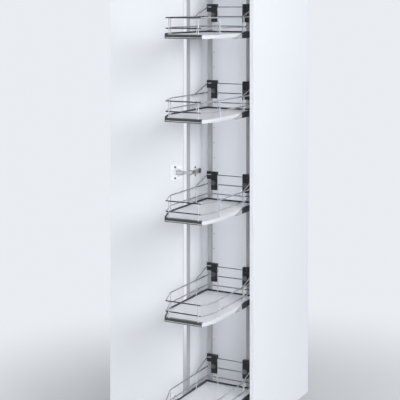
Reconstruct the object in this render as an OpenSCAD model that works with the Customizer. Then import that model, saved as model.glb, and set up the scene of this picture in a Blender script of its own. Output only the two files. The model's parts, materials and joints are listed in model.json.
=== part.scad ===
// Tall narrow larder cabinet with a wide-angle hinged door and a pull-out frame of five trays.
// Millimetres. The origin is the centre of the carcass's underside, +Z is up and -Y is the front.
// It stands as in use: door swung wide open, frame of trays drawn out.

/* [Carcass] */
// Outer width of the carcass
carcass_w = 300; // [290:1:400]
// Depth of the carcass, without the door
carcass_d = 560; // [545:1:700]
// Height of the carcass, without its legs
carcass_h = 2040; // [1950:1:2600]
// Thickness of the sides, top and bottom
board_t = 16; // [15:1:19]
// Thickness of the back panel
back_t = 8; // [4:1:10]
// Distance from the rear edge to the back panel
back_inset = 12; // [8:1:20]
// Depth of the groove that holds the back panel
groove_depth = 6; // [4:1:8]

/* [Row of holes] */
// Distance between the holes in a side
hole_pitch = 64; // [32:32:128]
// Height of the lowest hole
first_hole_z = 92; // [60:1:200]
// Distance of the row behind the front edge
hole_row_y = 213; // [150:1:300]
// Diameter of the holes
hole_d = 5; // [3:0.5:8]
// Depth of the holes
hole_depth = 11; // [6:1:12]

/* [Legs] */
// Height of the carcass above the floor
leg_h = 100; // [80:5:160]
// Distance of each leg from the side faces
leg_inset_x = 41; // [36:1:60]
// Distance of each leg from the front and rear edges
leg_inset_y = 60; // [40:1:120]
// Diameter of the leg tube
leg_d = 30; // [24:1:36]
// Diameter of the sole
sole_d = 52; // [40:1:60]

/* [Door] */
// Thickness of the door
door_t = 19; // [16:1:22]
// Gap between the door's edges and the carcass's outline
door_gap = 1.5; // [1:0.5:3]
// Gap between the closed door and the carcass
door_standoff = 2; // [2:0.5:3]
// Opening angle of the door as it stands
door_open = 155; // [120:1:155]

/* [Hinges] */
// Distance of the end hinges from the carcass's ends
hinge_end = 92; // [90:1:140]
// Number of hinges
hinge_count = 3; // [3:1:5]
// Turning axis, outboard of the inner face of the side
axis_out = 19.5; // [18:0.5:21]
// Turning axis, ahead of the carcass's front edge
axis_ahead = 11.4; // [10:0.1:13]
// Diameter of the hinge cup
cup_d = 35; // [35:1:35]
// Depth of the hinge cup
cup_depth = 12.5; // [11:0.5:14]
// Centre of the cup from the door's edge
cup_centre = 22.5; // [20.5:0.5:24.5]
// Length of the inner link between its pivots
inner_link_l = 34; // [32:1:38]
// Length of the outer link between its pivots
outer_link_l = 32; // [30:1:36]

/* [Trays] */
// Underside of the lowest tray
lowest_tray_z = 126; // [122:1:200]
// Underside of the highest tray below the carcass's top
top_tray_drop = 467; // [300:1:700]
// Distance between the two highest trays
top_pitch = 314.5; // [250:0.5:400]
// Gap between the carcass's left side and the trays
tray_gap = 20; // [18:1:30]
// Gap between the trays and the carcass's right side
tray_right_gap = 28; // [20:1:60]
// Depth of a tray
tray_d = 423; // [360:1:430]
// Thickness of a tray's board
tray_t = 14; // [12:1:18]
// How far the trays stand ahead of the carcass when drawn out
tray_reach = 311; // [280:1:320]
// How far the trays stand behind the carcass's front edge when pushed in
tray_setback = 59; // [50:1:70]
// Width and depth of the front left chamfer
chamfer = [43, 106]; // [20:1:120]
// Width and depth of the curved front right corner
curve = [23, 106]; // [15:1:120]

/* [Wire rails] */
// Diameter of the rails
rail_d = 5; // [4:0.5:6]
// Diameter of the rear guard
guard_d = 4.4; // [3.6:0.2:4.8]
// Diameter of the uprights
upright_d = 4; // [3:0.5:5]
// Height of the lower rail above the tray's underside
low_rail_z = 39.5; // [30:0.5:50]
// Height of the upper rail above the tray's underside
high_rail_z = 79; // [60:0.5:90]
// Height of the rear guard above the tray's underside
guard_z = 118; // [100:1:130]
// Length over which the rear guard climbs
guard_run = 110; // [90:1:140]

/* [Frame] */
// Width and depth of a post
post = [16, 16]; // [14:1:20]
// Right post's outer face from the trays' right edge
post_inset = 28; // [20:1:40]
// Gap between the rear edge of a tray and the posts
post_gap = 6; // [5:0.5:12]

/* [Runners] */
// Distance of the floor runner behind the front edge
runner_setback = 60; // [50:1:80]
// Distance of the runners from the back panel
runner_rear_gap = 30; // [20:1:120]
// Width and height of the runner's outer profile
runner_outer = [60, 20]; // [18:1:64]
// Wall of the runner profiles
runner_wall = 2; // [1.5:0.5:2.5]
// Diameter of the runner's balls
ball_d = 4.6; // [4:0.2:6]
// Width and height of the ceiling rail
ceiling_rail = [40, 24]; // [20:1:50]

/* [Hidden] */

round_fn = 48;
fit = 0.3;          // gap of a loose fit
pivot_fit = 0.06;   // radial gap round a pivot pin
inner_w = carcass_w - 2 * board_t;
back_front = carcass_d - back_inset - back_t;   // front face of the back panel

// Everything inside is placed from the inner face of the left side and the carcass's front edge.
module in_cabinet() {
    translate([-carcass_w / 2 + board_t, -carcass_d / 2, 0]) children();
}

module block(low, high) {
    translate(low) cube(high - low);
}

// ---------------------------------------------------------------- carcass

lock_d = 15;
lock_h = 12;
lock_inset = 34;      // centre of a cam lock from the side
lock_edge = 60;       // centre of a cam lock from the front and rear edges
lock_places = [
    for (x = [lock_inset - board_t, inner_w - lock_inset + board_t],
         y = [lock_edge, back_front - lock_edge]) [x, y]
];
hole_count = floor((carcass_h - 2 * first_hole_z) / hole_pitch) + 1;
screw_d = 4;
screw_head_d = 8;
screw_head_h = 2.2;
tip_gap = 1;          // a screw's hole is this much deeper than the screw

// A side board lies with its inner face at x = 0 and its body towards -x.
module side_board() {
    difference() {
        block([-board_t, 0, 0], [0, carcass_d, carcass_h]);
        block([-groove_depth, back_front, -1], [1, back_front + back_t + fit, carcass_h + 1]);
        for (i = [0 : hole_count - 1])
            translate([-hole_depth, hole_row_y, first_hole_z + i * hole_pitch])
                rotate([0, 90, 0]) cylinder(d = hole_d, h = hole_depth + 1, $fn = round_fn);
    }
}

module left_side() {
    color([0.93, 0.94, 0.95]) in_cabinet() difference() {
        side_board();
        for (z = hinge_heights, s = [-1, 1])
            translate([-plate_screw_l, plate_row_y, z + s * plate_screw_z])
                rotate([0, 90, 0]) cylinder(d = screw_d + 2 * fit, h = plate_screw_l + 1, $fn = round_fn);
    }
}

module right_side() {
    color([0.93, 0.94, 0.95])
        in_cabinet() translate([inner_w, 0, 0]) mirror([1, 0, 0]) side_board();
}

module lock_pockets(z) {
    for (p = lock_places)
        translate([p[0], p[1], z]) cylinder(d = lock_d + fit, h = lock_h + 1, $fn = round_fn);
}

module bottom_panel() {
    color([0.92, 0.93, 0.94]) in_cabinet() difference() {
        block([0, 0, 0], [inner_w, back_front, board_t]);
        lock_pockets(-1);
        for (y = rail_screw_places)
            translate([rail_x, y, board_t - rail_screw_l])
                cylinder(d = screw_d + 2 * fit, h = rail_screw_l + 1, $fn = round_fn);
    }
}

module top_panel() {
    color([0.92, 0.93, 0.94]) in_cabinet() difference() {
        block([0, 0, carcass_h - board_t], [inner_w, back_front, carcass_h]);
        lock_pockets(carcass_h - lock_h);
        for (y = ceiling_screw_places)
            translate([rail_x, y, carcass_h - board_t - 1])
                cylinder(d = screw_d + 2 * fit, h = rail_screw_l + 1, $fn = round_fn);
    }
}

module back_panel() {
    color([0.93, 0.94, 0.95]) in_cabinet()
        block([-groove_depth, back_front, 0],
              [inner_w + groove_depth, back_front + back_t, carcass_h]);
}

// Round cam housings that draw the top and bottom to the sides, each with a cross slot.
module cam_lock() {
    slot_w = 1.6;
    slot_depth = 2;
    difference() {
        cylinder(d = lock_d, h = lock_h, $fn = round_fn);
        for (a = [0, 90]) rotate([0, 0, a])
            block([-lock_d / 3, -slot_w / 2, -1], [lock_d / 3, slot_w / 2, slot_depth]);
    }
}

module cam_locks() {
    color([0.55, 0.56, 0.58]) in_cabinet() for (p = lock_places) {
        translate([p[0], p[1], 0]) cam_lock();
        translate([p[0], p[1], carcass_h]) mirror([0, 0, 1]) cam_lock();
    }
}

// ---------------------------------------------------------------- legs and wall bracket

socket_wall = 4;
socket_h = 40;
socket_flange = 64;
flange_plate_t = 4;
socket_ceiling = 6;
sole_h = 9;

module at_legs() {
    for (x = [-1, 1], y = [-1, 1])
        translate([x * (carcass_w / 2 - leg_inset_x), y * (carcass_d / 2 - leg_inset_y), 0])
            children();
}

module leg_sockets() {
    color([0.12, 0.12, 0.13]) at_legs() difference() {
        union() {
            block([-socket_flange / 2, -socket_flange / 2, -flange_plate_t],
                  [socket_flange / 2, socket_flange / 2, 0]);
            translate([0, 0, -socket_h])
                cylinder(d = leg_d + 2 * socket_wall, h = socket_h - 1, $fn = round_fn);
        }
        translate([0, 0, -socket_h - 1])
            cylinder(d = leg_d + fit, h = socket_h + 1 - socket_ceiling, $fn = round_fn);
    }
}

module legs() {
    color([0.14, 0.14, 0.15]) at_legs() {
        translate([0, 0, -leg_h]) cylinder(d = sole_d, h = sole_h, $fn = round_fn);
        translate([0, 0, -leg_h + sole_h - 1])
            cylinder(d = leg_d, h = leg_h - sole_h + 1 - socket_ceiling, $fn = round_fn);
    }
}

bracket_w = 40;
bracket_leg = 40;
bracket_t = 3;
wall_hole_d = 8;
wall_hole_z = 24;

module wall_bracket() {
    color([0.75, 0.76, 0.78]) translate([0, carcass_d / 2 - back_inset - back_t, carcass_h])
        difference() {
            union() {
                block([-bracket_w / 2, -bracket_leg, 0], [bracket_w / 2, back_t + back_inset, bracket_t]);
                block([-bracket_w / 2, back_t + back_inset - bracket_t, 0],
                      [bracket_w / 2, back_t + back_inset, bracket_leg]);
            }
            translate([0, back_t + back_inset - bracket_t - 1, wall_hole_z])
                rotate([-90, 0, 0]) cylinder(d = wall_hole_d, h = bracket_t + 2, $fn = round_fn);
        }
}

// ---------------------------------------------------------------- door

axis_x = -axis_out;
axis_y = -axis_ahead;
door_face_y = -door_standoff;                       // inner face, door closed
door_left = -board_t + door_gap;
door_right = inner_w + board_t - door_gap;
door_low = door_gap;
door_high = carcass_h - door_gap;
hinge_heights = [
    for (i = [0 : hinge_count - 1])
        hinge_end + i * (carcass_h - 2 * hinge_end) / (hinge_count - 1)
];
cup_x = door_left + cup_centre;
cup_wall = 1.5;
flange_t = 1.4;
flange_edge = 6;       // flange from the door's edge
flange_w = 45;
flange_h = 62;
cup_screw_x = cup_x + 9.5;
cup_screw_z = 22.5;
cup_screw_l = 9;

// Turns what is drawn for the closed door to the place where the door stands.
module at_open_door() {
    in_cabinet() translate([axis_x, axis_y, 0]) rotate([0, 0, -door_open])
        translate([-axis_x, -axis_y, 0]) children();
}

module door_panel() {
    color([0.95, 0.96, 0.97]) at_open_door() difference() {
        block([door_left, door_face_y - door_t, door_low], [door_right, door_face_y, door_high]);
        for (z = hinge_heights) {
            translate([cup_x, door_face_y - cup_depth - fit, z])
                rotate([-90, 0, 0]) cylinder(d = cup_d + fit, h = cup_depth + 1, $fn = round_fn);
            for (s = [-1, 1])
                translate([cup_screw_x, door_face_y - cup_screw_l, z + s * cup_screw_z]) rotate([-90, 0, 0])
                    cylinder(d = screw_d + 2 * fit, h = cup_screw_l + 1, $fn = round_fn);
        }
    }
}

// Pivot of the outer link inside the cup, door closed, and of the inner link on the arm.
cup_pivot = [cup_x + 4, door_face_y - 5];
arm_pivot = [6, 0];
pivot_pad = 3;         // half width of the pads in the cup that hold the link's pin
pin_r = 1.5;
link_half_w = 2.6;
ear_near = 9.5;
slot_half_h = 8.6;
near_slot_depth = 0.8;

module hinge_cup() {
    difference() {
        union() {
            translate([cup_x, door_face_y - cup_depth, 0])
                rotate([-90, 0, 0]) cylinder(d = cup_d, h = cup_depth, $fn = round_fn);
            block([door_left + flange_edge, door_face_y, -flange_h / 2],
                  [door_left + flange_edge + flange_w, door_face_y + flange_t, flange_h / 2]);
        }
        difference() {
            translate([cup_x, door_face_y - cup_depth + cup_wall, 0])
                rotate([-90, 0, 0]) cylinder(d = cup_d - 2 * cup_wall, h = cup_depth + 2, $fn = round_fn);
            for (s = [0, 1]) mirror([0, 0, s])
                block([cup_pivot[0] - pivot_pad, cup_pivot[1] - pivot_pad, ear_near],
                      [cup_pivot[0] + pivot_pad, cup_pivot[1] + pivot_pad, cup_d / 2]);
        }
        // ways out for the links over the cup's edge, with the door open and with it shut
        block([door_left - 1, door_face_y - near_slot_depth, -slot_half_h],
              [cup_x, door_face_y + 2, slot_half_h]);
        block([cup_x, door_face_y - cup_wall, -slot_half_h],
              [cup_x + cup_d / 2 + 2, door_face_y + 2, slot_half_h]);
        translate([cup_pivot[0], cup_pivot[1], -cup_d / 2 + cup_wall + 1])
            cylinder(r = pin_r + pivot_fit, h = cup_d - 2 * cup_wall - 2, $fn = round_fn);
        for (s = [-1, 1]) translate([cup_screw_x, door_face_y - 1, s * cup_screw_z])
            rotate([-90, 0, 0]) cylinder(d = screw_d + 2 * fit, h = flange_t + 2, $fn = round_fn);
    }
}

module hinge_cups() {
    color([0.80, 0.81, 0.83]) at_open_door() for (z = hinge_heights) translate([0, 0, z]) hinge_cup();
}

// A round-headed screw along +x: its head stands on the plane x = 0 and its shank goes to -x.
module head_screw(shank) {
    socket_d = 2.6;
    rotate([0, 90, 0]) difference() {
        union() {
            cylinder(d = screw_head_d, h = screw_head_h, $fn = round_fn);
            translate([0, 0, -shank]) cylinder(d = screw_d, h = shank + 1, $fn = round_fn);
        }
        translate([0, 0, screw_head_h - 1.2]) cylinder(d = socket_d, h = 2, $fn = 6);
    }
}

module cup_screws() {
    color([0.60, 0.61, 0.63]) at_open_door() for (z = hinge_heights, s = [-1, 1])
        translate([cup_screw_x, door_face_y + flange_t, z + s * cup_screw_z])
            rotate([0, 0, 90]) head_screw(flange_t + cup_screw_l - tip_gap);
}

// Soft dots that meet the carcass's right side when the door shuts.
buffer_d = 9;
buffer_end = 30;

module door_buffers() {
    color([0.85, 0.86, 0.87]) at_open_door() for (z = [buffer_end, carcass_h - buffer_end])
        translate([inner_w + board_t / 2, door_face_y, z])
            rotate([-90, 0, 0]) cylinder(d = buffer_d, h = door_standoff - fit, $fn = round_fn);
}

// ---------------------------------------------------------------- hinge plates, arms and links

plate_row_y = 37;
plate_screw_z = 16;
plate_screw_l = 12;
plate_t = 3;
plate_wing = [15, 24];     // half height of the wing is the second value
plate_bar = [8, 70, 8];    // front, rear, half height
arm_t = 2.2;
arm_half_h = 8.5;
arm_front = 3;
arm_rear = 66;
arm_top = 11.6;            // arm and cam stay clear of the trays' brackets
arm_solid_l = 20;          // the arm's solid rear end, under its cam
web_front = 7;
cam_y = 60;
cam_r = 11;

module hinge_plates() {
    color([0.72, 0.73, 0.75]) in_cabinet() for (z = hinge_heights) translate([0, 0, z]) difference() {
        union() {
            block([0, plate_bar[0], -plate_bar[2]], [plate_t, plate_bar[1], plate_bar[2]]);
            block([0, plate_row_y - plate_wing[0] / 2, -plate_wing[1]],
                  [plate_t, plate_row_y + plate_wing[0] / 2, plate_wing[1]]);
        }
        for (s = [-1, 1]) translate([-1, plate_row_y, s * plate_screw_z])
            rotate([0, 90, 0]) cylinder(d = screw_d + 2 * fit, h = plate_t + 2, $fn = round_fn);
    }
}

module plate_screws() {
    color([0.35, 0.36, 0.38]) in_cabinet() for (z = hinge_heights, s = [-1, 1])
        translate([plate_t, plate_row_y, z + s * plate_screw_z])
            head_screw(plate_t + plate_screw_l - tip_gap);
}

// A channel open towards +x, with two ears and the pin that carries the inner link.
module hinge_arm() {
    ear_r = 3.2;
    for (s = [0, 1]) mirror([0, 0, s]) {
        block([plate_t, arm_front, arm_half_h - arm_t], [arm_top, arm_rear, arm_half_h]);
        translate([arm_pivot[0], arm_pivot[1], arm_half_h - arm_t])
            cylinder(r = ear_r, h = arm_t, $fn = round_fn);
        block([arm_pivot[0] - ear_r, arm_pivot[1], arm_half_h - arm_t],
              [arm_pivot[0] + ear_r, arm_front + 1, arm_half_h]);
    }
    block([plate_t, web_front, -arm_half_h], [plate_t + arm_t, arm_rear, arm_half_h]);
    block([plate_t, arm_rear - arm_solid_l, -arm_half_h], [arm_top, arm_rear, arm_half_h]);
    translate([arm_pivot[0], arm_pivot[1], -arm_half_h])
        cylinder(r = pin_r, h = 2 * arm_half_h, $fn = round_fn);
}

module hinge_arms() {
    color([0.62, 0.63, 0.66]) in_cabinet() for (z = hinge_heights) translate([0, 0, z]) hinge_arm();
}

// Round adjusting cams on the arms' rear ends.
module arm_cams() {
    cam_h = 2.4;
    slot_w = 2;
    color([0.50, 0.51, 0.54]) in_cabinet() for (z = hinge_heights)
        translate([arm_top, cam_y, z]) rotate([0, 90, 0]) difference() {
            cylinder(r = cam_r, h = cam_h, $fn = round_fn);
            translate([0, 0, cam_h - 1]) block([-cam_r / 2, -slot_w / 2, 0], [cam_r / 2, slot_w / 2, 2]);
        }
}

function turned(p, a) = [
    axis_x + (p[0] - axis_x) * cos(a) - (p[1] - axis_y) * sin(a),
    axis_y + (p[0] - axis_x) * sin(a) + (p[1] - axis_y) * cos(a)
];
// Where two links of lengths la and lb from p and q meet, on the left of the line from p to q.
function meeting(p, q, la, lb) =
    let (d = q - p, l = norm(d), u = d / l, x = (la * la - lb * lb + l * l) / (2 * l),
         h = sqrt(max(0, la * la - x * x)))
    p + x * u + h * [-u[1], u[0]];
cup_pivot_open = turned(cup_pivot, -door_open);
knee = meeting(arm_pivot, cup_pivot_open, inner_link_l, outer_link_l);
inner_link_a = atan2(knee[1] - arm_pivot[1], knee[0] - arm_pivot[0]);
outer_link_a = atan2(knee[1] - cup_pivot_open[1], knee[0] - cup_pivot_open[0]);
inner_link_half_h = 5.5;
outer_link_near = 5.8;
outer_link_t = 2;

// A bar with round ends from [0, 0] to [length, 0].
module link_bar(length, low, thick) {
    translate([0, 0, low]) {
        cylinder(r = link_half_w, h = thick, $fn = round_fn);
        translate([length, 0, 0]) cylinder(r = link_half_w, h = thick, $fn = round_fn);
        block([0, -link_half_w, 0], [length, link_half_w, thick]);
    }
}

module inner_links() {
    color([0.66, 0.67, 0.70]) in_cabinet() for (z = hinge_heights)
        translate([arm_pivot[0], arm_pivot[1], z]) rotate([0, 0, inner_link_a]) difference() {
            link_bar(inner_link_l, -inner_link_half_h, 2 * inner_link_half_h);
            translate([0, 0, -inner_link_half_h - 1])
                cylinder(r = pin_r + pivot_fit, h = 2 * inner_link_half_h + 2, $fn = round_fn);
        }
}

module outer_links() {
    rivet_r = 2;
    rivet_h = 0.6;
    pin_half_l = 13;
    color([0.82, 0.83, 0.85]) in_cabinet() for (z = hinge_heights)
        translate([cup_pivot_open[0], cup_pivot_open[1], z]) rotate([0, 0, outer_link_a]) {
            for (s = [0, 1]) mirror([0, 0, s]) {
                link_bar(outer_link_l, outer_link_near, outer_link_t);
                translate([outer_link_l, 0, outer_link_near + outer_link_t - 0.2])
                    cylinder(r = rivet_r, h = rivet_h + 0.2, $fn = round_fn);
            }
            translate([0, 0, -pin_half_l]) cylinder(r = pin_r, h = 2 * pin_half_l, $fn = round_fn);
        }
}

// ---------------------------------------------------------------- frame: places

tray_front = -tray_reach;
tray_left = tray_gap;
tray_right = inner_w - tray_right_gap;
tray_w = tray_right - tray_left;
tray_rear = tray_front + tray_d;
tray_count = 5;          // as many as NODES lists
tray_pitch = (carcass_h - top_tray_drop - top_pitch - lowest_tray_z) / (tray_count - 2);
rim_t = 3;
rim_h = tray_t + 6;
bracket_wall = 2.5;
post_front = tray_rear + post_gap;
post_rear = post_front + post[1];
frame_left = tray_left - 2;
frame_right = tray_right - post_inset;
frame_travel = tray_reach + tray_setback;
rail_x = (frame_left + frame_right) / 2;      // middle of the frame and of its rails
function tray_z(i) = i == tray_count ? carcass_h - top_tray_drop : lowest_tray_z + (i - 1) * tray_pitch;

// ---------------------------------------------------------------- floor runner

runner_l = back_front - runner_rear_gap - runner_setback;
rail_screw_l = 11;
rail_screw_end = 40;         // end screws from the ends of the rails
rail_screw_places = [
    runner_setback + rail_screw_end,
    runner_setback + runner_l / 2,
    runner_setback + runner_l - rail_screw_end
];
ball_gap = ball_d + 0.4;                       // space between two profiles' walls
slide_w = runner_outer[0] - 2 * runner_wall - 2 * ball_gap;
carrier_w = slide_w - 2 * runner_wall - 2 * ball_gap;
profile_lift = 0.4;
outer_floor = board_t + runner_wall;
slide_floor = outer_floor + screw_head_h + profile_lift + runner_wall;
slide_h = runner_outer[1] - 2;
carrier_top = board_t + runner_outer[1] + 8.6;      // clear of the rails below it
carrier_lift = 1.5;          // the carrier rail's edges above the slide's floor
half_travel = frame_travel / 2;
cage_t = 1.6;
cage_h = 6;
cage_l = 200;
ball_count = 8;
cage_z = slide_floor + 4;
inner_cage_z = slide_floor + 9;

// An open channel along y, standing on z = 0.
module channel(width, height, length) {
    difference() {
        block([-width / 2, 0, 0], [width / 2, length, height]);
        block([-width / 2 + runner_wall, -1, runner_wall],
              [width / 2 - runner_wall, length + 1, height + 1]);
    }
}

module floor_rail() {
    color([0.70, 0.71, 0.73]) in_cabinet() translate([rail_x, runner_setback, board_t]) difference() {
        channel(runner_outer[0], runner_outer[1], runner_l);
        for (y = rail_screw_places) translate([0, y - runner_setback, -1])
            cylinder(d = screw_d + 2 * fit, h = runner_wall + 2, $fn = round_fn);
    }
}

module floor_rail_slide() {
    color([0.66, 0.67, 0.69]) in_cabinet()
        translate([rail_x, runner_setback - half_travel, slide_floor - runner_wall])
            channel(slide_w, slide_h, runner_l);
}

// Upturned channel under the base carrier.
module carrier_rail() {
    color([0.72, 0.73, 0.75]) in_cabinet()
        translate([rail_x, runner_setback - frame_travel, carrier_top]) mirror([0, 0, 1])
            channel(carrier_w, carrier_top - slide_floor - carrier_lift, runner_l);
}

// Two strips of balls, one each side, centred on x = 0 with their front ends at y = 0.
module ball_strips(half_gap_x, z) {
    for (s = [-1, 1]) translate([s * half_gap_x, 0, z]) {
        block([-cage_t / 2, 0, -cage_h / 2], [cage_t / 2, cage_l, cage_h / 2]);
        for (i = [0 : ball_count - 1])
            translate([0, cage_l * (i + 0.5) / ball_count, 0]) sphere(d = ball_d, $fn = round_fn);
    }
}

module outer_ball_cages() {
    color([0.78, 0.79, 0.80]) in_cabinet()
        translate([rail_x, runner_setback + (runner_l - cage_l) / 2 - half_travel / 2, 0])
            ball_strips(slide_w / 2 + ball_gap / 2, cage_z);
}

module inner_ball_cages() {
    color([0.78, 0.79, 0.80]) in_cabinet()
        translate([rail_x, runner_setback + (runner_l - cage_l) / 2 - 1.5 * half_travel, 0])
            ball_strips(carrier_w / 2 + ball_gap / 2, inner_cage_z);
}

module rail_screws() {
    color([0.45, 0.46, 0.48]) in_cabinet() {
        for (y = rail_screw_places)
            translate([rail_x, y, outer_floor])
                rotate([0, -90, 0]) head_screw(runner_wall + rail_screw_l - tip_gap);
        for (y = ceiling_screw_places)
            translate([rail_x, y, carcass_h - board_t - runner_wall])
                rotate([0, 90, 0]) head_screw(runner_wall + rail_screw_l - tip_gap);
    }
}

// ---------------------------------------------------------------- ceiling guide

guide_l = 70;
ceiling_rail_front = post_rear - guide_l - 4;    // the slider stays wholly in its rail
ceiling_rail_l = back_front - runner_rear_gap - ceiling_rail_front;
ceiling_screw_places = [
    ceiling_rail_front + rail_screw_end, ceiling_rail_front + ceiling_rail_l - rail_screw_end
];
beam_h = 22;
ceiling_z = carcass_h - board_t;
guide_top = ceiling_z - runner_wall - screw_head_h - 2 * fit;
beam_top = ceiling_z - ceiling_rail[1] - 8;      // clear of the ceiling rail

module ceiling_rail_channel() {
    color([0.70, 0.71, 0.73]) in_cabinet() translate([rail_x, ceiling_rail_front, ceiling_z]) difference() {
        mirror([0, 0, 1]) channel(ceiling_rail[0], ceiling_rail[1], ceiling_rail_l);
        for (y = ceiling_screw_places) translate([0, y - ceiling_rail_front, -runner_wall - 1])
            cylinder(d = screw_d + 2 * fit, h = runner_wall + 2, $fn = round_fn);
    }
}

// Nylon block on the top beam that runs in the ceiling rail.
module guide_slider() {
    neck_w = 20;
    shoe_h = 12;
    shoe_w = ceiling_rail[0] - 2 * runner_wall - 2 * fit;
    front = post_rear - guide_l;
    color([0.20, 0.20, 0.22]) in_cabinet() {
        block([rail_x - shoe_w / 2, front, guide_top - shoe_h], [rail_x + shoe_w / 2, post_rear, guide_top]);
        block([rail_x - neck_w / 2, post_front, beam_top], [rail_x + neck_w / 2, post_rear, guide_top - 1]);
    }
}

// ---------------------------------------------------------------- frame

carrier_t = 3;
carrier_plate_w = 60;
cross_h = 22;
cross_d = 34;
post_low = carrier_top + cross_h;
post_high = beam_top;
clip_slot = [4, 2];     // width and depth of the groove in a post's front

module base_carrier() {
    front = runner_setback - frame_travel;
    color([0.62, 0.63, 0.66]) in_cabinet() {
        block([rail_x - carrier_plate_w / 2, front, carrier_top],
              [rail_x + carrier_plate_w / 2, post_rear, carrier_top + carrier_t]);
        block([frame_left, post_rear - cross_d, carrier_top],
              [frame_right, post_rear, carrier_top + cross_h]);
    }
}

module frame_post(left) {
    in_cabinet() difference() {
        block([left, post_front, post_low], [left + post[0], post_rear, post_high]);
        block([left + post[0] / 2 - clip_slot[0] / 2, post_front - 1, post_low - 1],
              [left + post[0] / 2 + clip_slot[0] / 2, post_front + clip_slot[1], post_high + 1]);
    }
}

module left_post() {
    color([0.56, 0.57, 0.61]) frame_post(frame_left);
}

module right_post() {
    color([0.56, 0.57, 0.61]) frame_post(frame_right - post[0]);
}

module top_beam() {
    color([0.62, 0.63, 0.66]) in_cabinet()
        block([frame_left + post[0], post_front + 1, beam_top - beam_h],
              [frame_right - post[0], post_rear - 1, beam_top]);
}

// ---------------------------------------------------------------- trays

curve_r = (pow(curve[0], 2) + pow(curve[1], 2)) / (2 * curve[0]);
strip_left = tray_left + chamfer[0];
strip_right = tray_right - curve[0];
trim_t = 6;
trim_lip = 14;
lip_t = 1.4;

// Outline of a board: chamfer at the front left, long curve at the front right.
module tray_outline() {
    difference() {
        intersection() {
            translate([tray_left, tray_front]) square([tray_w, tray_d]);
            union() {
                translate([tray_right - curve_r, tray_front + curve[1]]) circle(r = curve_r, $fn = 200);
                translate([tray_left, tray_front]) square([tray_w / 2, tray_d]);
                translate([tray_left, tray_front + curve[1]]) square([tray_w, tray_d - curve[1]]);
            }
        }
        polygon([
            [tray_left - 1, tray_front - 1], [strip_left + chamfer[0] / chamfer[1], tray_front - 1],
            [strip_left, tray_front], [tray_left, tray_front + chamfer[1]],
            [tray_left - 1, tray_front + chamfer[1]]
        ]);
    }
}

module tray_board(i) {
    color([0.95, 0.96, 0.97]) in_cabinet() translate([0, 0, tray_z(i)]) difference() {
        linear_extrude(height = tray_t) tray_outline();
        block([strip_left - 1, tray_front - 1, -1], [strip_right + 1, tray_front + trim_t, tray_t + 1]);
    }
}

// Dark profile along the front edge, with a lip over the board and a bright bead below.
module front_trim(i) {
    bead_h = 3;
    groove = 1;
    color([0.22, 0.23, 0.27]) in_cabinet() translate([0, 0, tray_z(i)]) difference() {
        union() {
            block([strip_left, tray_front, 0], [strip_right, tray_front + trim_t, tray_t + lip_t]);
            block([strip_left, tray_front, tray_t], [strip_right, tray_front + trim_lip, tray_t + lip_t]);
        }
        block([strip_left - 1, tray_front - 1, bead_h],
              [strip_right + 1, tray_front + groove, bead_h + groove]);
    }
}

// Dark edge that stands round the chamfer, the left side and the rear of a board.
module tray_rim(i) {
    chamfer_a = atan2(chamfer[0], chamfer[1]);
    corner = rim_t * tan(chamfer_a / 2);
    run_out = rim_t / cos(chamfer_a);
    color([0.20, 0.21, 0.25]) in_cabinet() translate([0, 0, tray_z(i)]) linear_extrude(height = rim_h)
        polygon([
            [strip_left, tray_front], [tray_left, tray_front + chamfer[1]], [tray_left, tray_rear],
            [tray_right, tray_rear], [tray_right, tray_rear + rim_t], [tray_left - rim_t, tray_rear + rim_t],
            [tray_left - rim_t, tray_front + chamfer[1] - corner], [strip_left - run_out, tray_front]
        ]);
}

// ---------------------------------------------------------------- wire rails

rail_r = rail_d / 2;
rim_gap = 0.8;                // from the uprights to the tray's edge
rail_in = upright_d / 2 + rim_gap;    // rail axis from the tray's edge
bend_r = 12;
long_bend_r = 200;
rear_bend_r = 10;
// the rails' corners, clockwise from the front left
rail_left = tray_left + rail_in;
rail_right = tray_right - rail_in;
rail_front = tray_front + rail_in;
rail_rear = tray_rear - rail_in;
rail_corners = [
    [rail_left, rail_rear],
    [rail_left, tray_front + chamfer[1]],
    [strip_left + 1, rail_front],
    [strip_right - 1, rail_front],
    [rail_right, rail_front + curve[1] / 2],
    [rail_right, rail_rear]
];
rail_bends = [rear_bend_r, bend_r, bend_r, bend_r, long_bend_r, rear_bend_r];

// the clamps in front of the posts, that grip the rear wires
clamp_w = 25;
clamp_gap = 9;                // from the left post to the left clamp's block
clamp_lap = 10;               // of the right clamp past the right post's inner side
clamp_left = frame_left + post[0] + clamp_gap;
clamp_right = frame_right - post[0] - clamp_lap;
clamp_front = rail_rear - rail_r - 4;
clamp_low = high_rail_z - 23;
clamp_high = guard_z + 12;

function unit(v) = v / norm(v);
function turn(a, b, c) = let (u = unit(b - a), v = unit(c - b)) atan2(u[0] * v[1] - u[1] * v[0], u * v);
function cut(a, b, c, r) = r * tan(abs(turn(a, b, c)) / 2);

// Straight stretches and round bends through the points, in the plane z = 0. A bend is a hair
// slimmer than the straights, which reach a little way over its ends.
bend_slim = 0.05;
bend_lap = 0.8;

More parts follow.
